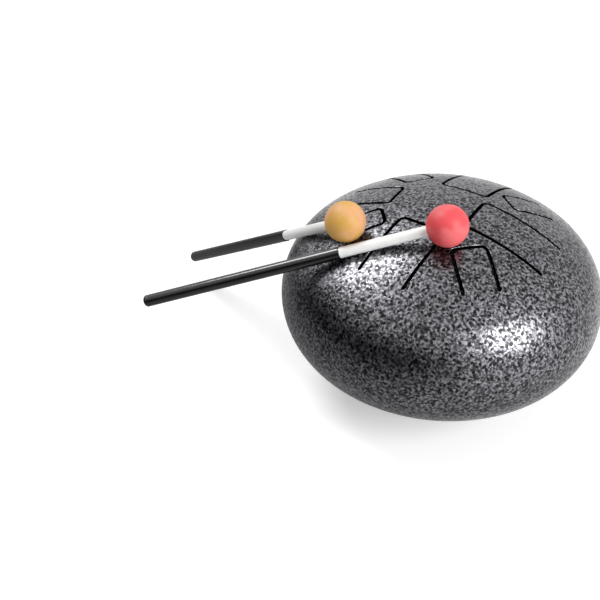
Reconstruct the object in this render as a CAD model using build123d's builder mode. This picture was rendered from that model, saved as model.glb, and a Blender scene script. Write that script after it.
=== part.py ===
from build123d import *
import os
from math import asin, atan2, cos, degrees, hypot, radians, sin, sqrt

# A steel tongue drum and its two mallets, in millimetres with +Z up.
# The drum stands on z = 0 with its axis on the Z axis and the player's side towards -Y.
# Two pressed steel shells meet at the rim plane, where a weld joins them. The upper shell carries the
# tongues, each freed on three sides by a U-shaped slot. The lower shell has the sound hole and three
# screwed feet. The mallets lie on the dome, each on its head and on its shaft.

# Shells
drum_diameter = 155.0
dome_height = 50.0
dome_knuckle_radius = 36.0
bowl_depth = 46.0
bowl_knuckle_radius = 34.0
wall = 1.8
standing_gap = 4.0
weld_groove = 0.9
overrun = 1.0
touch_tolerance = 0.01
level_share = 0.001

# Tongues, counted anticlockwise from above, the first one at the front right
tongue_bearings = (-69.7, -21.5, 26.0, 67.5, 117.5, 158.5, 195.0, 239.7)
tongue_width_shares = (0.70, 1.00, 0.61, 0.98, 0.62, 0.71, 0.55, 1.00)
tongue_tip_shares = (0.595, 0.26, 0.605, 0.34, 0.605, 0.51, 0.585, 0.385)
widest_tongue = 23.7
slot_root_radius = 51.5
slot_width = 1.8
slot_corner_radius = 2.5
slot_edge_break = 0.3

# Where sections are drawn, so that the line that closes a revolved shell runs clear of the slots
section_bearing = 135.7

# Sound hole
sound_hole_diameter = 32.0
sound_hole_edge_break = 0.4

# Feet
foot_count = 3
first_foot_bearing = 90.0
foot_circle_diameter = 72.0
foot_base_diameter = 18.0
foot_tread_diameter = 14.5
foot_edge_radius = 0.8
foot_seat_thickness = 3.5
foot_recess_clearance = 0.4

# Foot screws, washers and nuts
screw_diameter = 4.0
screw_hole_clearance = 0.3
screw_head_diameter = 7.6
screw_head_height = 2.6
screw_head_edge_radius = 1.0
driver_slot_length = 4.4
driver_slot_width = 0.9
driver_slot_depth = 1.2
screw_end_past_nut = 1.3
washer_diameter = 9.0
washer_thickness = 0.8
nut_across_flats = 7.0
nut_height = 3.2

# Mallets, with lengths along the shaft counted from the middle of the head
head_diameter = 19.0
head_socket_depth = 12.0
shaft_diameter = 5.0
grip_diameter = 5.8
grip_fit = 0.05
grip_start = 50.0
grip_front_edge_break = 0.2
grip_end_wall = 2.0
grip_end_radius = 1.6
mallet_reach = 150.0
rest_gap = 0.3
rest_stations = 200
rest_halvings = 30
steepest_rest = 60.0

# Where each head lies: its angle from the crown, its bearing round the drum and its shaft's heading
mallet_places = {
    "red": (14.87, -88.67, -177.80),
    "yellow": (25.86, -154.85, 139.85),
}


def crown_radius(height, knuckle):
    """Radius of the crown arc that runs smoothly into the knuckle arc at the rim."""
    return ((rim_radius - knuckle) ** 2 + height**2 - knuckle**2) / (2 * (height - knuckle))


def groove_radius(knuckle):
    """Radius of the drum at the open edge of the weld groove."""
    return rim_radius - knuckle + sqrt(knuckle**2 - weld_groove**2)


def shell_section(height, knuckle, side):
    """Half section of a shell from its grooved rim to its middle; side is 1 for dome and -1 for bowl."""
    crown = crown_radius(height, knuckle)
    turn = degrees(atan2(crown - height, rim_radius - knuckle))
    groove_turn = degrees(asin(weld_groove / knuckle))
    knuckle_centre = (rim_radius - knuckle, rim_z)
    crown_centre = (0, rim_z + side * (height - crown))
    to_groove, to_crown, to_middle = side * groove_turn, side * turn, side * (90 - turn)
    with BuildSketch(section_plane) as section:
        with BuildLine():
            outer_knuckle = CenterArc(knuckle_centre, knuckle, to_groove, to_crown - to_groove)
            outer_crown = CenterArc(crown_centre, crown, to_crown, to_middle)
            inner_knuckle = CenterArc(knuckle_centre, knuckle - wall, 0, to_crown)
            inner_crown = CenterArc(crown_centre, crown - wall, to_crown, to_middle)
            Polyline(outer_knuckle @ 0, (rim_radius - weld_groove, rim_z), inner_knuckle @ 0)
            Line(outer_crown @ 1, inner_crown @ 1)
        make_face()
    return section.sketch


def foot_seat(number):
    """Plane on the outside of the bowl where a foot sits, facing away from the steel."""
    bearing = radians(first_foot_bearing + 360 * number / foot_count)
    out = Vector(cos(bearing) * sin(foot_lean), sin(bearing) * sin(foot_lean), -cos(foot_lean))
    return Plane(bowl_centre + out * bowl_crown, x_dir=(-sin(bearing), cos(bearing), 0), z_dir=out)


def seats_at(height):
    """The seats of all feet, moved outwards from the steel by a height."""
    return [seat.offset(height) for seat in foot_seats]


def dome_gap(point):
    """Distance from a point to the outside of the upper shell."""
    radius = hypot(point.X, point.Y)
    if point.Z < rim_z:
        return radius - rim_radius
    crown_turn = atan2(rim_radius - dome_knuckle_radius, rim_z - dome_centre.Z)
    if atan2(radius, point.Z - dome_centre.Z) < crown_turn:
        return hypot(radius, point.Z - dome_centre.Z) - dome_crown
    return hypot(radius - rim_radius + dome_knuckle_radius, point.Z - rim_z) - dome_knuckle_radius


def shaft_gap(head, along):
    """Least distance from a mallet's shaft and grip to the upper shell."""
    gaps = []
    for station in range(rest_stations + 1):
        reach = head_diameter / 2 + (mallet_reach - head_diameter / 2) * station / rest_stations
        thickness = shaft_diameter if reach < grip_start else grip_diameter
        gaps.append(dome_gap(head + along * reach) - thickness / 2)
    return min(gaps)


def mallet_plane(polar, bearing, heading):
    """Plane in the middle of a lying mallet's head, facing along its shaft as it meets the dome."""
    lean, turn, way = radians(polar), radians(bearing), radians(heading)
    out = Vector(sin(lean) * cos(turn), sin(lean) * sin(turn), cos(lean))
    head = dome_centre + out * (dome_crown + head_diameter / 2 + rest_gap)
    flat, steep = 0.0, steepest_rest
    for _ in range(rest_halvings):
        dip = radians((flat + steep) / 2)
        along = Vector(cos(dip) * cos(way), cos(dip) * sin(way), -sin(dip))
        if shaft_gap(head, along) > rest_gap:
            flat = degrees(dip)
        else:
            steep = degrees(dip)
    return Plane(head, x_dir=(-sin(way), cos(way), 0), z_dir=along)


section_turn = radians(section_bearing)
section_out = (cos(section_turn), sin(section_turn), 0)
section_plane = Plane((0, 0, 0), x_dir=section_out, z_dir=(sin(section_turn), -cos(section_turn), 0))
rim_radius = drum_diameter / 2
rim_z = standing_gap + bowl_depth
dome_crown = crown_radius(dome_height, dome_knuckle_radius)
dome_centre = Vector(0, 0, rim_z + dome_height - dome_crown)
bowl_crown = crown_radius(bowl_depth, bowl_knuckle_radius)
bowl_centre = Vector(0, 0, standing_gap + bowl_crown)
foot_lean = asin(foot_circle_diameter / 2 / bowl_crown)
foot_seats = [foot_seat(number) for number in range(foot_count)]
screw_hole_diameter = screw_diameter + screw_hole_clearance
pieces = {}

# Upper shell, with a U-shaped slot round each tongue
with BuildPart() as upper_shell:
    revolve(shell_section(dome_height, dome_knuckle_radius, 1), axis=Axis.Z)
    with BuildSketch() as slots:
        for bearing, width_share, tip_share in zip(tongue_bearings, tongue_width_shares, tongue_tip_shares):
            half_width = widest_tongue * width_share / 2
            tip_radius = slot_root_radius * tip_share
            with BuildLine(Plane.XY.rotated((0, 0, bearing))):
                cut_line = FilletPolyline(
                    (slot_root_radius, half_width),
                    (tip_radius, half_width),
                    (tip_radius, -half_width),
                    (slot_root_radius, -half_width),
                    radius=slot_corner_radius,
                )
                offset(cut_line, amount=slot_width / 2, side=Side.BOTH, mode=Mode.REPLACE)
            make_face()
    extrude(amount=rim_z + dome_height + overrun, mode=Mode.SUBTRACT)
    slot_walls = upper_shell.faces().filter_by(lambda face: abs(face.normal_at().Z) < level_share)
    slot_edges = slot_walls.edges().filter_by(lambda edge: dome_gap(edge @ 0.5) > -touch_tolerance)
    chamfer(slot_edges, length=slot_edge_break)
pieces["upper_shell"] = upper_shell

# Lower shell, with the sound hole and the screw holes
with BuildPart() as lower_shell:
    revolve(shell_section(bowl_depth, bowl_knuckle_radius, -1), axis=Axis.Z)
    with BuildSketch():
        Circle(sound_hole_diameter / 2)
    extrude(amount=rim_z, mode=Mode.SUBTRACT)
    chamfer(lower_shell.edges(Select.LAST).filter_by(GeomType.CIRCLE), length=sound_hole_edge_break)
    with Locations(*seats_at(overrun)):
        Hole(screw_hole_diameter / 2, depth=wall + 2 * overrun)
pieces["lower_shell"] = lower_shell

# Weld that fills the groove between the shells, ground flush with the rim
with BuildPart() as seam_weld:
    with BuildSketch(section_plane):
        with BuildLine():
            root = (rim_radius - weld_groove, rim_z)
            upper_edge = (groove_radius(dome_knuckle_radius), rim_z + weld_groove)
            lower_edge = (groove_radius(bowl_knuckle_radius), rim_z - weld_groove)
            ThreePointArc(upper_edge, (rim_radius, rim_z), lower_edge)
            Polyline(upper_edge, root, lower_edge)
        make_face()
    revolve(axis=Axis.Z)
pieces["seam_weld"] = seam_weld

# Rubber feet, moulded to the bowl above and flat on the ground below
for number, seat in enumerate(foot_seats, start=1):
    tread_height = seat.origin.Z / cos(foot_lean)
    foot_reach = tread_height + foot_tread_diameter
    taper_share = (foot_base_diameter - foot_tread_diameter) / (2 * tread_height)
    with BuildPart() as rubber_foot:
        with BuildSketch(Plane(seat.origin, x_dir=seat.x_dir, z_dir=-seat.y_dir)):
            with BuildLine():
                Polyline(
                    (0, -overrun),
                    (foot_base_diameter / 2 + overrun * taper_share, -overrun),
                    (foot_base_diameter / 2 - foot_reach * taper_share, foot_reach),
                    (0, foot_reach),
                    close=True,
                )
            make_face()
        revolve(axis=Axis(seat.origin, seat.z_dir))
        with Locations(bowl_centre):
            Sphere(bowl_crown, mode=Mode.SUBTRACT)
        split(bisect_by=Plane.XY, keep=Keep.TOP)
        fillet(rubber_foot.edges().group_by(Axis.Z)[0], radius=foot_edge_radius)
        with Locations(seat.offset(foot_reach)):
            CounterBoreHole(
                screw_hole_diameter / 2,
                (washer_diameter + foot_recess_clearance) / 2,
                foot_reach - foot_seat_thickness,
                foot_reach + overrun,
            )
    pieces[f"rubber_foot_{number}"] = rubber_foot

# Washers in the recesses of the feet
with BuildPart() as foot_washers:
    with BuildSketch(*seats_at(foot_seat_thickness)):
        Circle(washer_diameter / 2)
        Circle(screw_hole_diameter / 2, mode=Mode.SUBTRACT)
    extrude(amount=washer_thickness)
pieces["foot_washers"] = foot_washers

# Washers inside the bowl, each resting on its own lower edge in the curve of the steel
washer_rise = bowl_crown - wall - sqrt((bowl_crown - wall) ** 2 - (washer_diameter / 2) ** 2)
inner_washer_face = wall + washer_rise
with BuildPart() as shell_washers:
    with BuildSketch(*seats_at(-inner_washer_face)):
        Circle(washer_diameter / 2)
        Circle(screw_hole_diameter / 2, mode=Mode.SUBTRACT)
    extrude(amount=-washer_thickness)
pieces["shell_washers"] = shell_washers

# Nuts on the inner washers
nut_face = inner_washer_face + washer_thickness
with BuildPart() as foot_nuts:
    with BuildSketch(*seats_at(-nut_face)):
        RegularPolygon(nut_across_flats / 2, side_count=6, major_radius=False)
        Circle(screw_diameter / 2, mode=Mode.SUBTRACT)
    extrude(amount=-nut_height)
pieces["foot_nuts"] = foot_nuts

# Screws from the recesses of the feet up through the nuts
head_face = foot_seat_thickness + washer_thickness
with BuildPart() as foot_screws:
    with BuildSketch(*seats_at(head_face)):
        Circle(screw_head_diameter / 2)
    extrude(amount=screw_head_height)
    head_rims = foot_screws.edges().filter_by(GeomType.CIRCLE).sort_by_distance(bowl_centre)[-foot_count:]
    fillet(head_rims, radius=screw_head_edge_radius)
    with BuildSketch(*seats_at(head_face + screw_head_height)):
        Rectangle(driver_slot_length, driver_slot_width)
        Rectangle(driver_slot_width, driver_slot_length)
    extrude(amount=-driver_slot_depth, mode=Mode.SUBTRACT)
    with BuildSketch(*seats_at(head_face)):
        Circle(screw_diameter / 2)
    extrude(amount=-(head_face + nut_face + nut_height + screw_end_past_nut))
pieces["foot_screws"] = foot_screws

# Mallets: a ball head, a plain shaft glued into it and a closed sleeve as the grip
for colour, place in mallet_places.items():
    middle = mallet_plane(*place)
    socket_floor = head_diameter / 2 - head_socket_depth
    sleeve_floor = mallet_reach - grip_end_wall

    with BuildPart() as mallet_head:
        with Locations(middle):
            Sphere(head_diameter / 2)
        with Locations(middle.offset(head_diameter / 2)):
            Hole(shaft_diameter / 2, depth=head_socket_depth)
    pieces[f"{colour}_mallet_head"] = mallet_head

    with BuildPart() as mallet_shaft:
        with BuildSketch(middle.offset(socket_floor)):
            Circle(shaft_diameter / 2)
        extrude(amount=sleeve_floor - socket_floor)
    pieces[f"{colour}_mallet_shaft"] = mallet_shaft

    with BuildPart() as mallet_grip:
        with BuildSketch(middle.offset(grip_start)):
            Circle(grip_diameter / 2)
        extrude(amount=mallet_reach - grip_start)
        along_grip = mallet_grip.edges().filter_by(GeomType.CIRCLE).sort_by_distance(middle.origin)
        fillet(along_grip[-1], radius=grip_end_radius)
        chamfer(along_grip[0], length=grip_front_edge_break)
        with BuildSketch(middle.offset(grip_start)):
            Circle(shaft_diameter / 2 + grip_fit)
        extrude(amount=sleeve_floor - grip_start, mode=Mode.SUBTRACT)
    pieces[f"{colour}_mallet_grip"] = mallet_grip

os.makedirs("parts", exist_ok=True)
for name, piece in pieces.items():
    piece.part.label = name
    export_step(piece.part, f"parts/{name}.step")
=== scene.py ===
"""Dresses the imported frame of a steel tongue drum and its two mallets, in metres with +Z up."""
import logging
import math
from dataclasses import dataclass
from enum import Enum
from typing import Any, Sequence

import bmesh
import bpy
import numpy as np
from bpy.types import ID, Material, Mesh, Node, NodeSocket, NodeTree, Object
from mathutils import Matrix, Vector


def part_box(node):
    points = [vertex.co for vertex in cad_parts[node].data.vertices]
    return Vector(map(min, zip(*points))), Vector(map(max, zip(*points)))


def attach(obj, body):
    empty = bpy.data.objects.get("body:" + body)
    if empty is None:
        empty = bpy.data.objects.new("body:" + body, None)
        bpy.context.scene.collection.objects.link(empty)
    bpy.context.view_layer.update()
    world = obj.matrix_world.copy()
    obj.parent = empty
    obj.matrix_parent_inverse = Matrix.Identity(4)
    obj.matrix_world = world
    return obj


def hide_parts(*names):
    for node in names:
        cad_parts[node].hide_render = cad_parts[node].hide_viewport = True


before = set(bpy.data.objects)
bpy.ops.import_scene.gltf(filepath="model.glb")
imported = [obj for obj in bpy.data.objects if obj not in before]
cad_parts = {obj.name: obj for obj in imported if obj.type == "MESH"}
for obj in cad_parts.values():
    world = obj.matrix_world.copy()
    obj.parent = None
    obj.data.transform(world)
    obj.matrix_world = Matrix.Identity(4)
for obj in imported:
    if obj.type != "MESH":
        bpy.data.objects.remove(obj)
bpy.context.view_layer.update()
LOG = logging.getLogger("tongue_drum")
Triple = tuple[float, float, float]
Span = tuple[float, float]
Section = list[Span]
Steps = tuple[int, int]

MM = 0.001
WHITE = (1, 1, 1, 1)
PRINCIPLED = "ShaderNodeBsdfPrincipled"
RAY_TESTS = ("Is Camera Ray", "Is Glossy Ray", "Is Transmission Ray")

# Points this near are merged, in metres
SEAM_REACH = 2e-7
DOUBLES_REACH = 1e-7

# The least length to divide by, in millimetres
TINY = 1e-6


# Node trees

class Value:
    """A number socket whose Python operators add Math nodes."""

    def __init__(self, sheet: "NodeSheet", socket: NodeSocket) -> None:
        """Keeps the sheet that the socket is on."""
        self.sheet = sheet
        self.socket = socket

    def _math(self, operation: str, *terms: Any) -> "Value":
        """Adds one Math node on these terms and gives its result."""
        return self.sheet.value("ShaderNodeMath", {"operation": operation}, dict(enumerate(terms)))

    def __add__(self, other: Any) -> "Value":
        """Gives self + other."""
        return self._math("ADD", self, other)

    def __radd__(self, other: Any) -> "Value":
        """Gives other + self."""
        return self._math("ADD", other, self)

    def __sub__(self, other: Any) -> "Value":
        """Gives self - other."""
        return self._math("SUBTRACT", self, other)

    def __rsub__(self, other: Any) -> "Value":
        """Gives other - self."""
        return self._math("SUBTRACT", other, self)

    def __mul__(self, other: Any) -> "Value":
        """Gives self * other."""
        return self._math("MULTIPLY", self, other)

    def __rmul__(self, other: Any) -> "Value":
        """Gives other * self."""
        return self._math("MULTIPLY", other, self)

    def __truediv__(self, other: Any) -> "Value":
        """Gives self / other."""
        return self._math("DIVIDE", self, other)

    def __rtruediv__(self, other: Any) -> "Value":
        """Gives other / self."""
        return self._math("DIVIDE", other, self)

    def __gt__(self, other: Any) -> "Value":
        """Gives 1 where self is greater than other, else 0."""
        return self._math("GREATER_THAN", self, other)

    def __lt__(self, other: Any) -> "Value":
        """Gives 1 where self is less than other, else 0."""
        return self._math("LESS_THAN", self, other)

    def most(self, other: Any) -> "Value":
        """Gives the greater of self and other."""
        return self._math("MAXIMUM", self, other)

    def root(self) -> "Value":
        """Gives the square root."""
        return self._math("SQRT", self)

    def cos(self) -> "Value":
        """Gives the cosine."""
        return self._math("COSINE", self)

    def sin(self) -> "Value":
        """Gives the sine."""
        return self._math("SINE", self)

    def nearest(self) -> "Value":
        """Gives the nearest whole number."""
        return self._math("ROUND", self)

    def ease(self, low: float, high: float) -> "Value":
        """Gives a smooth rise from 0 at low to 1 at high."""
        sockets = {"Value": self, "From Min": low, "From Max": high}
        return self.sheet.value("ShaderNodeMapRange", {"interpolation_type": "SMOOTHSTEP"}, sockets)


class NodeSheet:
    """A node tree that is filled through one method."""

    def __init__(self, tree: NodeTree) -> None:
        """Starts on an emptied tree."""
        self.tree = tree
        tree.nodes.clear()

    @staticmethod
    def find(sockets: Any, key: int | str) -> NodeSocket:
        """Finds a socket of a node.

        Args:
            sockets: The node's inputs or outputs.
            key: The socket's place, identifier or name.

        Returns:
            The socket.
        """
        if isinstance(key, int):
            return sockets[key]
        exact = [socket for socket in sockets if socket.identifier == key]
        named = [socket for socket in sockets if socket.name == key and socket.enabled]
        return (exact + named)[0]

    def join(self, value: Any, socket: NodeSocket) -> None:
        """Links a value to a socket, or sets it there.

        Args:
            value: A Value, a list of them or a plain value.
            socket: The input that takes it.
        """
        if isinstance(value, list):
            for one in value:
                self.join(one, socket)
        elif isinstance(value, Value):
            self.tree.links.new(value.socket, socket)
        else:
            socket.default_value = value

    def node(self, kind: str, settings: dict | None = None, sockets: dict | None = None) -> Node:
        """Adds a node.

        Args:
            kind: The node's type.
            settings: Its own settings, set first.
            sockets: The values or links of its inputs.

        Returns:
            The node.
        """
        node = self.tree.nodes.new(kind)
        for name, setting in (settings or {}).items():
            setattr(node, name, setting)
        for key, value in (sockets or {}).items():
            self.join(value, self.find(node.inputs, key))
        return node

    def value(self, kind: str, settings: dict | None = None, sockets: dict | None = None,
              out: int | str = 0) -> Value:
        """Adds a node and gives the output that has this place, identifier or name."""
        node = self.node(kind, settings, sockets)
        return Value(self, self.find(node.outputs, out))

    def vector(self, operation: str, *terms: Any, out: int | str = 0) -> Value:
        """Adds one Vector Math node on these terms and gives one of its outputs."""
        return self.value("ShaderNodeVectorMath", {"operation": operation}, dict(enumerate(terms)), out)

    def parts(self, vector: Value) -> list[Value]:
        """Gives the X, Y and Z of a vector."""
        node = self.node("ShaderNodeSeparateXYZ", sockets={0: vector})
        return [Value(self, socket) for socket in node.outputs]

    def ray_tests(self) -> list[Value]:
        """Gives the tests for camera rays, glossy rays and transmission rays."""
        path = self.node("ShaderNodeLightPath")
        return [Value(self, self.find(path.outputs, name)) for name in RAY_TESTS]


class GeometrySheet(NodeSheet):
    """A Geometry Nodes tree with named inputs, run on an object to give a plain mesh."""

    def __init__(self, name: str, inputs: dict[str, str]) -> None:
        """Makes the tree.

        Args:
            name: The tree's name.
            inputs: Each input's name and socket type.
        """
        super().__init__(bpy.data.node_groups.new(name, "GeometryNodeTree"))
        face = self.tree.interface
        face.new_socket("Geometry", in_out="INPUT", socket_type="NodeSocketGeometry")
        face.new_socket("Geometry", in_out="OUTPUT", socket_type="NodeSocketGeometry")
        self.identifiers = {}
        for label, kind in {**inputs, "Finish": "NodeSocketMaterial"}.items():
            item = face.new_socket(label, in_out="INPUT", socket_type=kind)
            self.identifiers[label] = item.identifier
        self.entry = self.node("NodeGroupInput")

    def given(self, name: str) -> Value:
        """Gives one of the tree's inputs."""
        return Value(self, self.find(self.entry.outputs, name))

    def close(self, geometry: Value) -> None:
        """Ends the tree in realized geometry with its finish.

        Args:
            geometry: What the tree has made.
        """
        real = self.value("GeometryNodeRealizeInstances", sockets={"Geometry": geometry})
        sockets = {"Geometry": real, "Material": self.given("Finish")}
        painted = self.value("GeometryNodeSetMaterial", sockets=sockets)
        self.node("NodeGroupOutput", sockets={"Geometry": painted})

    def run(self, source: Object, sizes: dict[str, Any]) -> Mesh:
        """Runs the tree on an object.

        Args:
            source: The object whose geometry goes in.
            sizes: The tree's inputs by name.

        Returns:
            The result as a plain mesh.
        """
        modifier = source.modifiers.new(self.tree.name, "NODES")
        modifier.node_group = self.tree
        for name, size in sizes.items():
            modifier[self.identifiers[name]] = size
        graph = bpy.context.evaluated_depsgraph_get()
        graph.update()
        mesh = bpy.data.meshes.new_from_object(source.evaluated_get(graph), depsgraph=graph)
        source.modifiers.remove(modifier)
        return mesh


def scene_object(name: str, data: ID) -> Object:
    """Links a mesh, a lamp or a camera to the scene as an object at the origin.

    Args:
        name: The object's name.
        data: What it shows.

    Returns:
        The object.
    """
    made = bpy.data.objects.new(name, data)
    bpy.context.scene.collection.objects.link(made)
    return made


def pattern_object(name: str, points: Sequence[Triple], lines: Sequence[tuple[int, int]]) -> Object:
    """Makes a helper object of points and lines for a tree to read.

    Args:
        name: The helper's name.
        points: Its points in metres.
        lines: Pairs of point numbers.

    Returns:
        The helper, linked to the scene.
    """
    mesh = bpy.data.meshes.new(name)
    mesh.from_pydata(points, lines, [])
    return scene_object(name, mesh)


def face_outwards(mesh: Mesh) -> Mesh:
    """Merges a closed mesh's doubles and turns its faces outwards.

    Args:
        mesh: The mesh to mend.

    Returns:
        The same mesh.
    """
    work = bmesh.new()
    work.from_mesh(mesh)
    bmesh.ops.remove_doubles(work, verts=work.verts, dist=DOUBLES_REACH)
    bmesh.ops.recalc_face_normals(work, faces=work.faces)
    work.to_mesh(mesh)
    work.free()
    return mesh


def arc(centre: Span, radius: float, start: float, sweep: float, count: int) -> Section:
    """Points along an arc in a plane.

    Args:
        centre: The arc's centre.
        radius: Its radius.
        start: The first point's angle in degrees.
        sweep: The angle that it covers in degrees.
        count: How many steps it is divided into.

    Returns:
        The points, both ends among them.
    """
    turns = [math.radians(start + sweep * step / count) for step in range(count + 1)]
    return [(centre[0] + radius * math.cos(t), centre[1] + radius * math.sin(t)) for t in turns]


class Lathe:
    """Turns half sections round the Z axis with Geometry Nodes."""

    sharp_angle: float = math.radians(35)

    def __init__(self) -> None:
        """Builds the tree: a grid whose columns go round and whose rows follow the section's points."""
        kinds = {"Sides": "NodeSocketInt", "Rows": "NodeSocketInt", "Sharp Angle": "NodeSocketFloat"}
        sheet = GeometrySheet("lathe", kinds)
        sides, rows = sheet.given("Sides"), sheet.given("Rows")
        sizes = {"Size X": 1.0, "Size Y": 1.0, "Vertices X": sides + 1, "Vertices Y": rows}
        grid = sheet.value("GeometryNodeMeshGrid", sockets=sizes)
        place = sheet.value("GeometryNodeInputPosition")
        across, along, _ = sheet.parts(place)
        turn = (across + 0.5) * math.tau
        row = ((along + 0.5) * (rows - 1)).nearest()
        point = sheet.value("GeometryNodeSampleIndex", {"data_type": "FLOAT_VECTOR"},
                            {"Geometry": sheet.given("Geometry"), "Value": place, "Index": row})
        reach, _, height = sheet.parts(point)
        bent = sheet.value("ShaderNodeCombineXYZ",
                           sockets={0: reach * turn.cos(), 1: reach * turn.sin(), 2: height})
        turned = sheet.value("GeometryNodeSetPosition", sockets={"Geometry": grid, "Position": bent})
        closed = sheet.value("GeometryNodeMergeByDistance",
                             sockets={"Geometry": turned, "Distance": SEAM_REACH})
        sharp = sheet.value("GeometryNodeInputMeshEdgeAngle") > sheet.given("Sharp Angle")
        soft = sheet.value("GeometryNodeSetShadeSmooth", {"domain": "FACE"},
                           {"Geometry": closed, "Shade Smooth": True})
        keen = sheet.value("GeometryNodeSetShadeSmooth", {"domain": "EDGE"},
                           {"Geometry": soft, "Selection": sharp, "Shade Smooth": False})
        sheet.close(keen)
        self.sheet = sheet

    def turn(self, name: str, section: Section, finish: "Finish", sides: int) -> Mesh:
        """Turns one half section.

        Args:
            name: The mesh's name.
            section: Reach and height of each point in millimetres.
            finish: The finish that the mesh takes.
            sides: How many columns go round.

        Returns:
            The turned mesh, facing outwards.
        """
        points = [(reach * MM, 0.0, height * MM) for reach, height in section]
        helper = pattern_object(f"{name}_section", points, [])
        sizes = {"Sides": sides, "Rows": len(points), "Sharp Angle": self.sharp_angle,
                 "Finish": finish.material()}
        mesh = self.sheet.run(helper, sizes)
        bpy.data.objects.remove(helper)
        mesh.name = name
        return face_outwards(mesh)


class CrownCutter:
    """Cuts slots that follow lines on a crown, with Geometry Nodes."""

    corner_steps: int = 8

    def __init__(self) -> None:
        """Builds the tree: lines are rounded, laid on the crown, given a cutter's section and cut out."""
        objects = dict.fromkeys(("Lines", "Cutter Section", "End Cutter"), "NodeSocketObject")
        lengths = ("Corner Radius", "Crown Radius", "Crown Height", "Step")
        sheet = GeometrySheet("tongue_slots", objects | dict.fromkeys(lengths, "NodeSocketFloat"))
        path = sheet.value("GeometryNodeMeshToCurve", sockets={"Mesh": self._object(sheet, "Lines")})
        rounded = sheet.value("GeometryNodeFilletCurve", {"mode": "POLY"},
                              {"Curve": path, "Count": self.corner_steps,
                               "Radius": sheet.given("Corner Radius")})
        even = sheet.value("GeometryNodeResampleCurve", {"mode": "LENGTH"},
                           {"Curve": rounded, "Length": sheet.given("Step")})
        place = sheet.value("GeometryNodeInputPosition")
        x, y, _ = sheet.parts(place)
        radius, height = sheet.given("Crown Radius"), sheet.given("Crown Height")
        level = (radius * radius - x * x - y * y).root() + height
        lifted = sheet.value("ShaderNodeCombineXYZ", sockets={0: x, 1: y, 2: level})
        laid = sheet.value("GeometryNodeSetPosition", sockets={"Geometry": even, "Position": lifted})
        middle = sheet.value("ShaderNodeCombineXYZ", sockets={2: height})
        out = sheet.vector("NORMALIZE", sheet.vector("SUBTRACT", place, middle))
        across = sheet.vector("CROSS_PRODUCT", out, sheet.value("GeometryNodeInputTangent"))
        upright = sheet.value("GeometryNodeSetCurveNormal", {"mode": "FREE"},
                              {"Curve": laid, "Normal": across})
        shape = sheet.value("GeometryNodeMeshToCurve",
                            sockets={"Mesh": self._object(sheet, "Cutter Section")})
        bar = sheet.value("GeometryNodeCurveToMesh",
                          sockets={"Curve": upright, "Profile Curve": shape, "Fill Caps": True})
        ends = sheet.value("GeometryNodeCurveEndpointSelection", sockets={"Start Size": 1, "End Size": 1})
        stand = sheet.value("FunctionNodeAlignRotationToVector", {"axis": "Z"}, {"Vector": out})
        plug = sheet.value("GeometryNodeInstanceOnPoints",
                           sockets={"Points": laid, "Selection": ends, "Rotation": stand,
                                    "Instance": self._object(sheet, "End Cutter")})
        plugs = sheet.value("GeometryNodeRealizeInstances", sockets={"Geometry": plug})
        opened = sheet.value("GeometryNodeMeshBoolean", {"operation": "DIFFERENCE", "solver": "EXACT"},
                             {"Mesh 1": sheet.given("Geometry"), "Mesh 2": [bar, plugs]})
        sheet.close(opened)
        self.sheet = sheet

    @staticmethod
    def _object(sheet: GeometrySheet, name: str) -> Value:
        """Gives the geometry of an object input."""
        return sheet.value("GeometryNodeObjectInfo", sockets={"Object": sheet.given(name)}, out="Geometry")


# Finishes

@dataclass(frozen=True)
class Noise:
    """A noise pattern: its waves per metre, its finer layers and their share."""

    scale: float
    detail: float
    rough: float = 0.5

    def draw(self, sheet: NodeSheet, place: Value, out: int | str = 0) -> Value:
        """Draws the noise on coordinates and gives an output, which is about 0.5 in the middle."""
        sockets = {"Vector": place, "Scale": self.scale, "Detail": self.detail, "Roughness": self.rough}
        return sheet.value("ShaderNodeTexNoise", sockets=sockets, out=out)


@dataclass(frozen=True)
class Finish:
    """A surface finish that becomes a material on first use."""

    name: str
    slot: str

    def material(self) -> Material:
        """Gives the finish's material.

        Returns:
            The material, made once.
        """
        made = bpy.data.materials.get(self.name)
        if made is None:
            made = bpy.data.materials.new(self.name)
            made.use_nodes = True
            sheet = NodeSheet(made.node_tree)
            shader = self.draw(sheet)
            sheet.node("ShaderNodeOutputMaterial", sockets={"Surface": shader})
        return made

    def draw(self, sheet: NodeSheet) -> Value:
        """Draws the finish's nodes and gives the shader."""
        raise NotImplementedError

    @staticmethod
    def place(sheet: NodeSheet) -> Value:
        """Gives the Object coordinates that patterns follow."""
        return sheet.value("ShaderNodeTexCoord", out="Object")

    @staticmethod
    def tint(sheet: NodeSheet, share: Value, low: Value | Triple, high: Triple) -> Value:
        """Mixes two colours.

        Args:
            sheet: The material's tree.
            share: How much of the second colour shows.
            low: The first colour.
            high: The second colour.

        Returns:
            The mixed colour.
        """
        first = low if isinstance(low, Value) else (*low, 1.0)
        sockets = {"Factor_Float": share, "A_Color": first, "B_Color": (*high, 1.0)}
        return sheet.value("ShaderNodeMix", {"data_type": "RGBA"}, sockets, "Result_Color")

    @staticmethod
    def bump(sheet: NodeSheet, height: Value, distance: float, strength: float) -> Value:
        """Gives the normal of a relief; distance is its full height in metres."""
        sockets = {"Height": height, "Distance": distance, "Strength": strength}
        return sheet.value("ShaderNodeBump", sockets=sockets)


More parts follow.
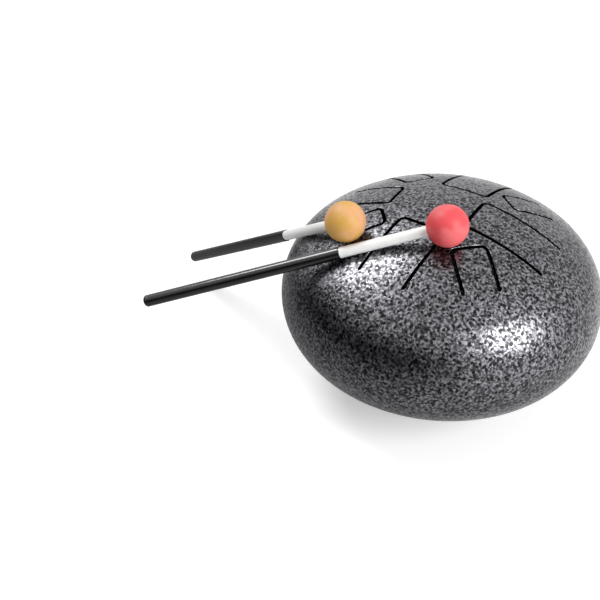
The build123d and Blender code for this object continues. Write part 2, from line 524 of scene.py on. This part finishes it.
@dataclass(frozen=True)
class HammertonePaint(Finish):
    """Grey metallic paint under a clear coat; it drew back into bright islands round dark pits as it dried.

    Lengths are in metres. An edge is where a pattern's rise starts and ends.
    """

    bright: Triple = (0.305, 0.305, 0.332)
    dull: Triple = (0.018, 0.018, 0.022)
    # The pit colour also paints shade on the slot walls and on the inside of the crown.
    pit_and_slot_shade: Triple = (0.003, 0.003, 0.004)
    bend: Noise = Noise(385.0, 1.0)
    bend_reach: float = 0.0009
    spots_per_metre: float = 430.0
    pit_edge: Span = (0.30, 0.41)
    mottle: Noise = Noise(820.0, 2.0, 0.55)
    mottle_edge: Span = (0.37, 0.70)
    mottle_pull: float = 0.4
    threads: Noise = Noise(690.0, 1.0)
    thread_edge: Span = (0.37, 0.45)
    thread_depth: float = 0.6
    crown_centre: Triple = (0.0, 0.0, -0.00451)
    crown_radius: float = 0.10451
    crown_floor: float = 0.076
    # Depth below the outer skin over which painted shade rises on the slot walls and the crown's inner face.
    slot_shade_edge: Span = (0.00014, 0.00036)
    mottle_relief: float = 0.5
    island_relief: float = 0.6
    relief_height: float = 0.00014
    relief_strength: float = 0.4
    roughness: float = 0.33
    dark_roughness: float = 0.15
    coat_loss: float = 0.3
    coat_roughness: float = 0.27
    coat_ior: float = 1.37
    specular_tint: Triple = (0.6, 0.6, 0.62)

    def draw(self, sheet: NodeSheet) -> Value:
        """Draws islands, mottle and pits, and paints the slot walls and the inside of the crown dark as
        painted shade, without the clear coat.

        Args:
            sheet: The material's tree.

        Returns:
            The shader.
        """
        place = self.place(sheet)
        push = sheet.value("ShaderNodeVectorMath", {"operation": "SCALE"},
                           {0: self.bend.draw(sheet, place, "Color"), "Scale": self.bend_reach})
        bent = sheet.vector("ADD", place, push)
        cells = sheet.value("ShaderNodeTexVoronoi", sockets={"Vector": bent, "Scale": self.spots_per_metre})
        mottle = self.mottle.draw(sheet, bent)
        pits = 1 - (cells + (mottle - 0.5) * self.mottle_pull).ease(*self.pit_edge)
        threads = 1 - self.threads.draw(sheet, bent).ease(*self.thread_edge)
        away = sheet.vector("DISTANCE", place, self.crown_centre, out="Value")
        on_crown = sheet.parts(place)[2] > self.crown_floor
        # Painted shade: deeper than this edge below the outer skin, the slot walls and the crown's inner face
        # take the pit colour and lose the clear coat.
        slot_shade = (self.crown_radius - away).ease(*self.slot_shade_edge) * on_crown
        dark = pits.most(threads * self.thread_depth).most(slot_shade)
        islands = self.tint(sheet, mottle.ease(*self.mottle_edge), self.dull, self.bright)
        relief = mottle * self.mottle_relief + (1 - dark) * self.island_relief
        sockets = {"Base Color": self.tint(sheet, dark, islands, self.pit_and_slot_shade),
                   "Metallic": 1.0,
                   "Roughness": self.roughness + dark * self.dark_roughness,
                   "Coat Weight": (1 - slot_shade) * (1 - pits * self.coat_loss),
                   "Coat Roughness": self.coat_roughness,
                   "Coat IOR": self.coat_ior,
                   "Specular Tint": (*self.specular_tint, 1.0),
                   "Normal": self.bump(sheet, relief, self.relief_height, self.relief_strength)}
        return sheet.value(PRINCIPLED, sockets=sockets)


class Pattern(Enum):
    """The two patterns of a patched finish."""

    PATCHES = "patches"
    GRAIN = "grain"


@dataclass(frozen=True)
class PatchedFinish(Finish):
    """A finish of two near colours in soft patches, with a fine grain; the grain's height is in metres."""

    colour: Triple
    patch_colour: Triple
    patches: Noise
    grain: Noise
    roughness: float
    rougher: float
    rougher_with: Pattern = Pattern.PATCHES
    patch_edge: Span = (0.35, 0.7)
    grain_height: float = 0.00003
    grain_strength: float = 0.5
    specular: float = 0.5
    metallic: float = 0.0

    def draw(self, sheet: NodeSheet) -> Value:
        """Draws the patches and the grain.

        Args:
            sheet: The material's tree.

        Returns:
            The shader.
        """
        place = self.place(sheet)
        patches = self.patches.draw(sheet, place).ease(*self.patch_edge)
        grain = self.grain.draw(sheet, place)
        rough = patches if self.rougher_with is Pattern.PATCHES else grain
        sockets = {"Base Color": self.tint(sheet, patches, self.colour, self.patch_colour),
                   "Metallic": self.metallic,
                   "Roughness": self.roughness + rough * self.rougher,
                   "Specular IOR Level": self.specular,
                   "Normal": self.bump(sheet, grain, self.grain_height, self.grain_strength)}
        return sheet.value(PRINCIPLED, sockets=sockets)


@dataclass(frozen=True)
class MouldedRubber(PatchedFinish):
    """Matt black rubber with a fine mould grain and patches of dust."""

    colour: Triple = (0.018, 0.018, 0.019)
    patch_colour: Triple = (0.045, 0.044, 0.042)
    patches: Noise = Noise(180.0, 3.0, 0.6)
    grain: Noise = Noise(2600.0, 2.0, 0.6)
    roughness: float = 0.62
    rougher: float = 0.2
    patch_edge: Span = (0.45, 0.75)
    grain_height: float = 0.00008
    grain_strength: float = 0.6
    specular: float = 0.4


@dataclass(frozen=True)
class ZincPlate(PatchedFinish):
    """Bright zinc on steel with fine marks and cloudy patches."""

    colour: Triple = (0.66, 0.66, 0.64)
    patch_colour: Triple = (0.46, 0.46, 0.47)
    patches: Noise = Noise(420.0, 3.0, 0.6)
    grain: Noise = Noise(5200.0, 2.0, 0.6)
    roughness: float = 0.24
    rougher: float = 0.18
    metallic: float = 1.0


@dataclass(frozen=True)
class BallRubber(PatchedFinish):
    """Smooth satin rubber, faintly paler where use has rubbed it."""

    colour: Triple = (0.71, 0.075, 0.085)
    patch_colour: Triple = (0.76, 0.14, 0.145)
    patches: Noise = Noise(95.0, 2.0)
    grain: Noise = Noise(3400.0, 1.0)
    roughness: float = 0.46
    rougher: float = 0.12
    patch_edge: Span = (0.40, 0.62)
    specular: float = 0.35


@dataclass(frozen=True)
class SmoothPlastic(PatchedFinish):
    """Extruded plastic with a little colour drift and a faint draw grain."""

    colour: Triple = (0.90, 0.90, 0.89)
    patch_colour: Triple = (0.85, 0.85, 0.83)
    patches: Noise = Noise(90.0, 2.0)
    grain: Noise = Noise(1500.0, 2.0)
    roughness: float = 0.28
    rougher: float = 0.08
    rougher_with: Pattern = Pattern.GRAIN
    grain_height: float = 0.00002


DRUM_PAINT = HammertonePaint("grey_hammertone", "drum_paint")
FOOT_RUBBER = MouldedRubber("foot_rubber", "black_rubber")
SCREW_ZINC = ZincPlate("screw_zinc", "zinc_steel")
RED_BALL = BallRubber("red_ball_rubber", "red_rubber")
YELLOW_BALL = BallRubber("yellow_ball_rubber", "yellow_rubber",
                         colour=(0.62, 0.345, 0.08), patch_colour=(0.68, 0.355, 0.19))
SHAFT_WHITE = SmoothPlastic("shaft_plastic", "white_plastic")
SLEEVE_BLACK = SmoothPlastic("sleeve_gloss", "black_sleeve",
                             colour=(0.003, 0.003, 0.0035), patch_colour=(0.006, 0.006, 0.0065),
                             roughness=0.12, grain_height=0.00004, specular=0.80)


# Pieces

def seat_piece(name: str, mesh: Mesh, finish: Finish, body: str, *nodes: str) -> None:
    """Makes a mesh a piece of the frame.

    Args:
        name: The piece's name.
        mesh: Its finished mesh, in place.
        finish: Its finish.
        body: The body that it moves with.
        nodes: The CAD nodes that it stands for.
    """
    mesh.materials.clear()
    mesh.materials.append(finish.material())
    piece = scene_object(name, mesh)
    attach(piece, body)
    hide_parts(*nodes)
    LOG.info("%s: %d faces, %s", name, len(mesh.polygons), finish.name)


class ShellSide(Enum):
    """Which way a shell bulges from the rim."""

    DOME = 1
    BOWL = -1


@dataclass
class PressedShell:
    """A pressed steel shell: a spherical crown that runs into a tight knuckle at the rim.

    Lengths are in millimetres and angles in degrees. Steps are counted round the knuckle and over the crown.
    """

    side: ShellSide
    height: float
    knuckle: float
    outer_steps: Steps
    inner_steps: Steps
    rim_radius: float = 77.5
    rim_z: float = 50.0
    wall: float = 1.8
    weld_groove: float = 0.9
    sides: int = 240
    lip_steps: int = 5
    sharp_angle: float = 38.0
    skin_reach: float = 0.03
    skin_facing: float = 0.8

    @property
    def knuckle_ring(self) -> float:
        """Radius of the ring on which the knuckle's centres lie."""
        return self.rim_radius - self.knuckle

    @property
    def crown(self) -> float:
        """Radius of the crown."""
        square = self.knuckle_ring**2 + self.height**2 - self.knuckle**2
        return square / (2 * (self.height - self.knuckle))

    @property
    def crown_z(self) -> float:
        """Height of the crown's centre."""
        return self.rim_z + self.side.value * (self.height - self.crown)

    @property
    def turn(self) -> float:
        """Angle above the rim plane at which the knuckle ends."""
        return math.degrees(math.atan2(self.crown - self.height, self.knuckle_ring))

    @property
    def groove_root(self) -> Span:
        """The innermost point of the weld groove."""
        return self.rim_radius - self.weld_groove, self.rim_z

    def skin(self, inset: float, start: float, last: float, steps: Steps) -> Section:
        """Half section of one face of the sheet, from the rim inwards.

        Args:
            inset: How far the face lies inside the outer one.
            start: The first angle above the rim plane.
            last: The angle on the crown where it stops.
            steps: Steps round the knuckle and over the crown.

        Returns:
            The points.
        """
        way, turn = self.side.value, self.turn
        centre = (self.knuckle_ring, self.rim_z)
        bend = arc(centre, self.knuckle - inset, way * start, way * (turn - start), steps[0])
        top = arc((0, self.crown_z), self.crown - inset, way * turn, way * (last - turn), steps[1])
        return bend + top[1:]

    def outside(self, last: float) -> Section:
        """Half section of the outer face, from the weld groove to an angle on the crown."""
        groove = math.degrees(math.asin(self.weld_groove / self.knuckle))
        return self.skin(0.0, groove, last, self.outer_steps)

    def inside(self, last: float) -> Section:
        """Half section of the inner face, from the rim plane to an angle on the crown."""
        return self.skin(self.wall, 0.0, last, self.inner_steps)

    def gap(self, points: np.ndarray, inset: float) -> tuple[np.ndarray, np.ndarray]:
        """Distance of points from one face of the sheet and that face's outward direction.

        Args:
            points: The points in millimetres.
            inset: How far the face lies inside the outer one.

        Returns:
            The distances and the directions.
        """
        reach = np.hypot(points[:, 0], points[:, 1])
        rise = points[:, 2] - self.crown_z
        on_crown = np.arctan2(reach, np.abs(rise)) < math.radians(90 - self.turn)
        from_crown = points - np.array([0, 0, self.crown_z])
        share = np.where(reach > TINY, self.knuckle_ring / np.maximum(reach, TINY), 0)
        ring = np.stack([points[:, 0] * share, points[:, 1] * share, np.full(len(points), self.rim_z)], 1)
        away = np.where(on_crown[:, None], from_crown, points - ring)
        size = np.linalg.norm(away, axis=1)
        radius = np.where(on_crown, self.crown, self.knuckle) - inset
        return size - radius, away / np.maximum(size, TINY)[:, None]

    def smooth(self, mesh: Mesh) -> None:
        """Gives the sheet's faces the normals of the true curve, right up to the cuts.

        Args:
            mesh: The cut shell.
        """
        mesh.polygons.foreach_set("use_smooth", [True] * len(mesh.polygons))
        mesh.set_sharp_from_angle(angle=math.radians(self.sharp_angle))
        corners = np.array([loop.vertex_index for loop in mesh.loops])
        points = np.empty(len(mesh.vertices) * 3)
        mesh.vertices.foreach_get("co", points)
        points = points.reshape(-1, 3) / MM
        normals = np.array([n.vector[:] for n in mesh.corner_normals])
        faces = np.empty(len(mesh.polygons) * 3)
        mesh.polygons.foreach_get("normal", faces)
        sizes = np.array([p.loop_total for p in mesh.polygons])
        face_normals = np.repeat(faces.reshape(-1, 3), sizes, axis=0)
        for inset, way in ((0.0, 1.0), (self.wall, -1.0)):
            gaps, outs = self.gap(points, inset)
            outs = outs[corners] * way
            near = np.abs(gaps[corners]) < self.skin_reach
            along = np.einsum("ij,ij->i", outs, face_normals) > self.skin_facing
            normals[near & along] = outs[near & along]
        mesh.normals_split_custom_set(normals.tolist())


@dataclass
class TongueDome(PressedShell):
    """The upper shell, with a U-shaped slot that frees each tongue on three sides."""

    side: ShellSide = ShellSide.DOME
    height: float = 50.0
    knuckle: float = 36.0
    outer_steps: Steps = (26, 58)
    inner_steps: Steps = (16, 30)
    bearings: tuple[float, ...] = (-69.7, -21.5, 26.0, 67.5, 117.5, 158.5, 195.0, 239.7)
    width_shares: tuple[float, ...] = (0.70, 1.00, 0.61, 0.98, 0.62, 0.71, 0.55, 1.00)
    tip_shares: tuple[float, ...] = (0.595, 0.26, 0.605, 0.34, 0.605, 0.51, 0.585, 0.385)
    widest_tongue: float = 23.7
    root_radius: float = 51.5
    corner_radius: float = 2.5
    slot_width: float = 1.8
    slot_step: float = 0.7
    slot_end_sides: int = 24
    lip_radius: float = 0.35
    lip_flare: float = 1.6
    paint_film: float = 0.1
    cut_depth: float = 3.6
    cut_rise: float = 1.2

    def slot_lines(self) -> Object:
        """Draws the middle line of every slot in plan.

        Returns:
            A helper object with one open line for each tongue.
        """
        points, lines = [], []
        for degrees, width, tip in zip(self.bearings, self.width_shares, self.tip_shares):
            bearing = math.radians(degrees)
            half, near, root = self.widest_tongue * width / 2, self.root_radius * tip, self.root_radius
            first = len(points)
            for out, across in ((root, half), (near, half), (near, -half), (root, -half)):
                x = out * math.cos(bearing) - across * math.sin(bearing)
                y = out * math.sin(bearing) + across * math.cos(bearing)
                points.append((x * MM, y * MM, 0.0))
            lines += [(step, step + 1) for step in range(first, len(points) - 1)]
        return pattern_object("slot_lines", points, lines)

    def cutter_flank(self) -> Section:
        """Draws one flank of the cutter, from its foot up over the rounded lip.

        Returns:
            Half width and height of each point.
        """
        half, lip = self.slot_width / 2 - self.paint_film, self.lip_radius
        flare = arc((half + lip, -lip), lip, 180, -90, self.lip_steps)
        return [(half, -self.cut_depth), *flare, (half + lip * self.lip_flare, self.cut_rise)]

    def build(self, lathe: Lathe, cutter: CrownCutter) -> Mesh:
        """Turns the dome and cuts its slots.

        Args:
            lathe: What turns the sheet.
            cutter: What cuts the slots.

        Returns:
            The shell's mesh.
        """
        section = [*reversed(self.outside(90.0)), self.groove_root, *self.inside(90.0)]
        blank = scene_object("dome_blank", lathe.turn("dome_blank", section, DRUM_PAINT, self.sides))
        flank = self.cutter_flank()
        loop = [(half * MM, height * MM, 0.0) for half, height in flank]
        loop += [(-half, height, level) for half, height, level in reversed(loop)]
        ring = [(n, (n + 1) % len(loop)) for n in range(len(loop))]
        shape = pattern_object("cutter_section", loop, ring)
        post = [(0.0, flank[0][1]), *flank, (0.0, flank[-1][1])]
        plug = scene_object("end_cutter", lathe.turn("end_cutter", post, DRUM_PAINT, self.slot_end_sides))
        lines = self.slot_lines()
        sizes = {"Lines": lines, "Cutter Section": shape, "End Cutter": plug,
                 "Corner Radius": self.corner_radius * MM, "Crown Radius": self.crown * MM,
                 "Crown Height": self.crown_z * MM, "Step": self.slot_step * MM,
                 "Finish": DRUM_PAINT.material()}
        mesh = cutter.sheet.run(blank, sizes)
        for helper in (blank, shape, plug, lines):
            bpy.data.objects.remove(helper)
        mesh.name = "tongue_dome"
        self.smooth(mesh)
        return mesh

    def dress(self, lathe: Lathe, cutter: CrownCutter) -> None:
        """Puts the dome in the frame."""
        seat_piece("tongue_dome", self.build(lathe, cutter), DRUM_PAINT, "drum", "upper_shell")


@dataclass
class SoundBowl(PressedShell):
    """The lower shell, with the sound hole in its middle."""

    side: ShellSide = ShellSide.BOWL
    height: float = 46.0
    knuckle: float = 34.0
    outer_steps: Steps = (26, 44)
    inner_steps: Steps = (18, 26)
    hole_diameter: float = 32.0
    hole_lip: float = 0.45

    def build(self, lathe: Lathe) -> Mesh:
        """Turns the bowl.

        Args:
            lathe: What turns the sheet.

        Returns:
            The shell's mesh.
        """
        lip = self.hole_lip
        reach = self.hole_diameter / 2 + lip
        outside = self.outside(math.degrees(math.acos(reach / self.crown)))
        inside = self.inside(math.degrees(math.acos(reach / (self.crown - self.wall))))
        high = arc((reach, inside[-1][1] - lip), lip, 90, 90, self.lip_steps)
        low = arc((reach, outside[-1][1] + lip), lip, 180, 90, self.lip_steps)
        hole = [*high[1:], *low[:-1]]
        section = [outside[0], self.groove_root, *inside, *hole, *reversed(outside)]
        return lathe.turn("sound_bowl", section, DRUM_PAINT, self.sides)

    def dress(self, lathe: Lathe) -> None:
        """Puts the bowl in the frame."""
        seat_piece("sound_bowl", self.build(lathe), DRUM_PAINT, "drum", "lower_shell")


@dataclass
class RimWeld:
    """The weld bead between the shells, ground flush and painted."""

    dome: TongueDome
    bowl: SoundBowl
    steps: int = 8

    def face_point(self, height: float) -> Span:
        """Gives the point of the bead's face, on a shell's knuckle, this far above the rim plane."""
        shell = self.dome if height > 0 else self.bowl
        return shell.knuckle_ring + math.sqrt(shell.knuckle**2 - height**2), shell.rim_z + height

    def dress(self, lathe: Lathe) -> None:
        """Puts the weld in the frame.

        Args:
            lathe: What turns the bead.
        """
        root, groove = self.dome.groove_root, self.dome.weld_groove
        face = [self.face_point(groove * (1 - 2 * step / self.steps)) for step in range(self.steps + 1)]
        mesh = lathe.turn("rim_weld", [root, *face, root], DRUM_PAINT, self.dome.sides)
        seat_piece("rim_weld", mesh, DRUM_PAINT, "drum", "seam_weld")


class BallColour(Enum):
    """The two mallets, by the colour of their balls."""

    RED = "red"
    YELLOW = "yellow"


@dataclass
class Mallet:
    """A rubber ball on a plastic shaft with a sleeve as its grip.

    Lengths are in millimetres, and places along the shaft are counted from the ball's middle.
    """

    colour: BallColour
    ball_diameter: float = 19.0
    ball_steps: int = 64
    mould_line: float = 0.05
    mould_line_width: float = 0.22
    socket_depth: float = 12.0
    socket_fit: float = 0.02
    socket_lip: float = 0.5
    socket_roll: tuple[Span, ...] = ((0.0, 1.0), (0.07, 0.45), (0.35, 0.08))
    shaft_diameter: float = 5.0
    shaft_edge: float = 0.3
    shaft_steps: int = 40
    sleeve_diameter: float = 5.8
    sleeve_fit: float = 0.05
    sleeve_start: float = 50.0
    sleeve_roll: float = 0.2
    sleeve_roll_steps: int = 4
    sleeve_wave: float = 0.02
    sleeve_wave_turns: Span = (1.7, 0.61)
    sleeve_wall_ends: Span = (0.8, 0.4)
    sleeve_steps: int = 60
    reach: float = 150.0
    butt_wall: float = 2.0
    butt_radius: float = 1.6
    butt_steps: int = 8
    sides: int = 64

    @property
    def finish(self) -> BallRubber:
        """The ball's rubber."""
        return RED_BALL if self.colour is BallColour.RED else YELLOW_BALL

    def node(self, part: str) -> str:
        """Name of one of the mallet's CAD nodes."""
        return f"{self.colour.value}_mallet_{part}"

    def place(self) -> Matrix:
        """Works out where the mallet lies from its CAD nodes.

        Returns:
            The matrix that takes the Z axis to the shaft and the origin to the ball's middle.
        """
        low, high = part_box(self.node("head"))
        middle = (low + high) / 2
        low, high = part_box(self.node("shaft"))
        along = ((low + high) / 2 - middle).normalized()
        return Matrix.Translation(middle) @ along.to_track_quat("Z", "Y").to_matrix().to_4x4()

    def ball(self) -> Section:
        """Draws the ball: a socket with a rounded mouth, and a fine mould line round the middle.

        Returns:
            Its half section.
        """
        radius, bore, lip = self.ball_diameter / 2, self.shaft_diameter / 2 + self.socket_fit, self.socket_lip
        floor = radius - self.socket_depth
        mouth = math.degrees(math.acos((bore + lip) / radius))
        skin = arc((0, 0), radius, mouth, -mouth - 90, self.ball_steps)
        top = skin[0][1]
        roll = [(bore + lip * out, top - lip * down) for out, down in self.socket_roll]
        ridge = [(r + self.mould_line * math.exp(-((z / self.mould_line_width) ** 2)), z) for r, z in skin]
        return [(0, floor), (bore, floor), *roll, *ridge]

    def shaft(self) -> Section:
        """Draws the shaft, with broken edges at both ends.

        Returns:
            Its half section.
        """
        radius, edge = self.shaft_diameter / 2, self.shaft_edge
        start, end = self.ball_diameter / 2 - self.socket_depth, self.reach - self.butt_wall
        run = end - start - 2 * edge
        steps = range(self.shaft_steps + 1)
        body = [(radius, start + edge + run * step / self.shaft_steps) for step in steps]
        return [(0, start), (radius - edge, start), *body, (radius - edge, end), (0, end)]

    def sleeve(self) -> Section:
        """Draws the sleeve: a rolled front edge, a slightly uneven wall and a rounded closed end.

        Returns:
            Its half section.
        """
        outer, bore = self.sleeve_diameter / 2, self.shaft_diameter / 2 + self.sleeve_fit
        start, end, turn, roll = self.sleeve_start, self.reach, self.butt_radius, self.sleeve_roll
        front = arc((outer - roll, start + roll), roll, -90, 90, self.sleeve_roll_steps)
        ahead, behind = self.sleeve_wall_ends
        run = end - turn - start - ahead - behind
        wall = []
        for step in range(self.sleeve_steps + 1):
            wave = math.prod(math.sin(step * turns) for turns in self.sleeve_wave_turns)
            place = start + ahead + run * step / self.sleeve_steps
            wall.append((outer - self.sleeve_wave * (1 - wave), place))
        butt = arc((outer - turn, end - turn), turn, 0, 90, self.butt_steps)
        floor = end - self.butt_wall
        return [(0, floor), (bore, floor), (bore, start), *front, *wall, *butt, (0, end)]

    def dress(self, lathe: Lathe) -> None:
        """Puts the ball, the shaft and the sleeve in the frame.

        Args:
            lathe: What turns them.
        """
        place = self.place()
        body = f"{self.colour.value}_mallet"
        parts = (("head", "ball", self.ball(), self.finish),
                 ("shaft", "rod", self.shaft(), SHAFT_WHITE),
                 ("grip", "sleeve", self.sleeve(), SLEEVE_BLACK))
        for part, label, section, finish in parts:
            name = f"{self.colour.value}_{label}"
            mesh = lathe.turn(name, section, finish, self.sides)
            mesh.transform(place)
            seat_piece(name, mesh, finish, body, self.node(part))


@dataclass
class FootFittings:
    """The feet and their screws, washers and nuts, which keep their CAD shapes."""

    rubber: tuple[str, ...] = ("rubber_foot_1", "rubber_foot_2", "rubber_foot_3")
    zinc: tuple[str, ...] = ("foot_washers", "shell_washers", "foot_screws", "foot_nuts")

    def dress(self) -> None:
        """Gives each node its finish."""
        for names, finish in ((self.rubber, FOOT_RUBBER), (self.zinc, SCREW_ZINC)):
            for name in names:
                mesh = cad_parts[name].data
                mesh.materials.clear()
                mesh.materials.append(finish.material())
                LOG.info("%s: CAD node, %s", name, finish.name)


# Studio

@dataclass(frozen=True)
class PaleFloor(Finish):
    """A pale floor that reaches white where nothing shades it; its mirror image dims towards one side."""

    colour: Triple = (0.82, 0.82, 0.82)
    lift: float = 0.42
    far_lift: float = 0.34
    far_from: Span = (0.3, 1.6)
    mirror_lift: float = 0.08
    dim_colour: Triple = (0.02, 0.02, 0.02)
    dim_side: Triple = (-0.906, -0.423, 0.0)
    dim_half: float = 0.075

    def draw(self, sheet: NodeSheet) -> Value:
        """Draws the floor, lifted a little for the camera and for reflections.

        Args:
            sheet: The material's tree.

        Returns:
            The shader.
        """
        camera, glossy, through = sheet.ray_tests()
        seen = camera.most(through)
        matt = sheet.value("ShaderNodeBsdfDiffuse", sockets={"Color": (*self.colour, 1.0)})
        place = self.place(sheet)
        away = sheet.vector("LENGTH", place, out="Value")
        strength = seen * (away.ease(*self.far_from) * self.far_lift + self.lift) + glossy * self.mirror_lift
        glow = sheet.value("ShaderNodeEmission", sockets={"Color": WHITE, "Strength": strength})
        near = sheet.value("ShaderNodeAddShader", sockets={0: matt, 1: glow})
        far = sheet.value("ShaderNodeBsdfDiffuse", sockets={"Color": (*self.dim_colour, 1.0)})
        reach = sheet.vector("DOT_PRODUCT", place, self.dim_side, out="Value")
        share = glossy * (1 - self.dim_half / (reach.most(0.0) + self.dim_half))
        return sheet.value("ShaderNodeMixShader", sockets={0: share, 1: near, 2: far})


@dataclass(frozen=True)
class SoftLamp:
    """A round soft lamp, hung at a distance from a point of the dome, in millimetres, that mirrors it."""

    name: str
    mirror_point: Triple
    towards: Triple
    size: float
    power: float
    distance: float = 1.3

    def build(self) -> None:
        """Hangs the lamp and points it back at the dome."""
        lamp = bpy.data.lights.new(self.name, "AREA")
        lamp.shape, lamp.size, lamp.energy = "DISK", self.size, self.power
        hung = scene_object(self.name, lamp)
        way = Vector(self.towards).normalized()
        hung.location = Vector(self.mirror_point) * MM + way * self.distance
        hung.rotation_euler = way.to_track_quat("Z", "Y").to_euler()


@dataclass
class Studio:
    """Camera, lamps, pale floor and white surroundings, which are dim on one side except to the camera."""

    lens: float = 63.065
    sensor: float = 36.0
    clips: Span = (0.01, 50.0)
    stand: Triple = (0.0, -0.42254, 0.35309)
    right: Triple = (0.986753344, 0.162227444, 0.000306769)
    down: Triple = (0.0968125266, -0.587345678, -0.803524977)
    ahead: Triple = (-0.130173624, 0.792910657, -0.595270961)
    floor_reach: float = 6.0
    floor_drop: float = 0.00005
    floor_sides: int = 64
    fill: float = 0.37
    dim_side: Triple = (-0.799, -0.602, 0.0)
    dim_facing: Span = (0.15, 0.75)
    dim_height: Span = (0.26, 0.76)
    dimming: float = 0.97
    lamps: tuple[SoftLamp, ...] = (
        SoftLamp("left_lamp", (-34.0, -37.5, 87.0), (-0.515, 0.32, 0.795), size=0.70, power=12.5),
        SoftLamp("right_lamp", (34.0, -60.0, 73.5), (0.727, -0.454, 0.515), size=0.85, power=18.5),
    )

    def camera(self) -> None:
        """Sets up the camera at the photograph's viewing angle."""
        lens = bpy.data.cameras.new("camera")
        lens.lens, lens.sensor_width, lens.sensor_fit = self.lens, self.sensor, "HORIZONTAL"
        lens.clip_start, lens.clip_end = self.clips
        view = scene_object("camera", lens)
        rows = (Vector(self.right), -Vector(self.down), -Vector(self.ahead))
        turn = Matrix(rows).transposed().to_4x4()
        view.matrix_world = Matrix.Translation(Vector(self.stand)) @ turn
        bpy.context.scene.camera = view

    def floor(self) -> None:
        """Lays a round floor under the feet."""
        mesh = bpy.data.meshes.new("floor")
        rim = arc((0, 0), self.floor_reach, 0, 360, self.floor_sides)[:-1]
        mesh.from_pydata([(x, y, -self.floor_drop) for x, y in rim], [], [tuple(range(self.floor_sides))])
        mesh.materials.append(PaleFloor("pale_floor", "").material())
        scene_object("floor", mesh)

    def surroundings(self) -> None:
        """Makes white surroundings that light the object softly."""
        world = bpy.data.worlds.new("surroundings")
        world.use_nodes = True
        sheet = NodeSheet(world.node_tree)
        camera, glossy, through = sheet.ray_tests()
        seen = camera.most(glossy).most(through)
        way = sheet.value("ShaderNodeTexCoord", out="Generated")
        facing = sheet.vector("DOT_PRODUCT", way, self.dim_side, out="Value").ease(*self.dim_facing)
        height = sheet.parts(way)[2].ease(*self.dim_height)
        dimmed = facing * (1 - height) * self.dimming * (1 - camera)
        strength = (self.fill + seen * (1 - self.fill)) * (1 - dimmed)
        sky = sheet.value("ShaderNodeBackground", sockets={"Color": WHITE, "Strength": strength})
        sheet.node("ShaderNodeOutputWorld", sockets={"Surface": sky})
        bpy.context.scene.world = world

    def build(self) -> None:
        """Builds the studio."""
        bpy.context.scene.view_settings.view_transform = "Standard"
        self.camera()
        self.floor()
        self.surroundings()
        for lamp in self.lamps:
            lamp.build()


def main() -> None:
    """Builds the drum, the mallets and the studio."""
    logging.basicConfig(level=logging.INFO, format="%(name)s %(message)s")
    Studio().build()
    lathe = Lathe()
    dome, bowl = TongueDome(), SoundBowl()
    dome.dress(lathe, CrownCutter())
    bowl.dress(lathe)
    RimWeld(dome, bowl).dress(lathe)
    FootFittings().dress()
    for colour in BallColour:
        Mallet(colour).dress(lathe)


if __name__ == "__main__":
    main()
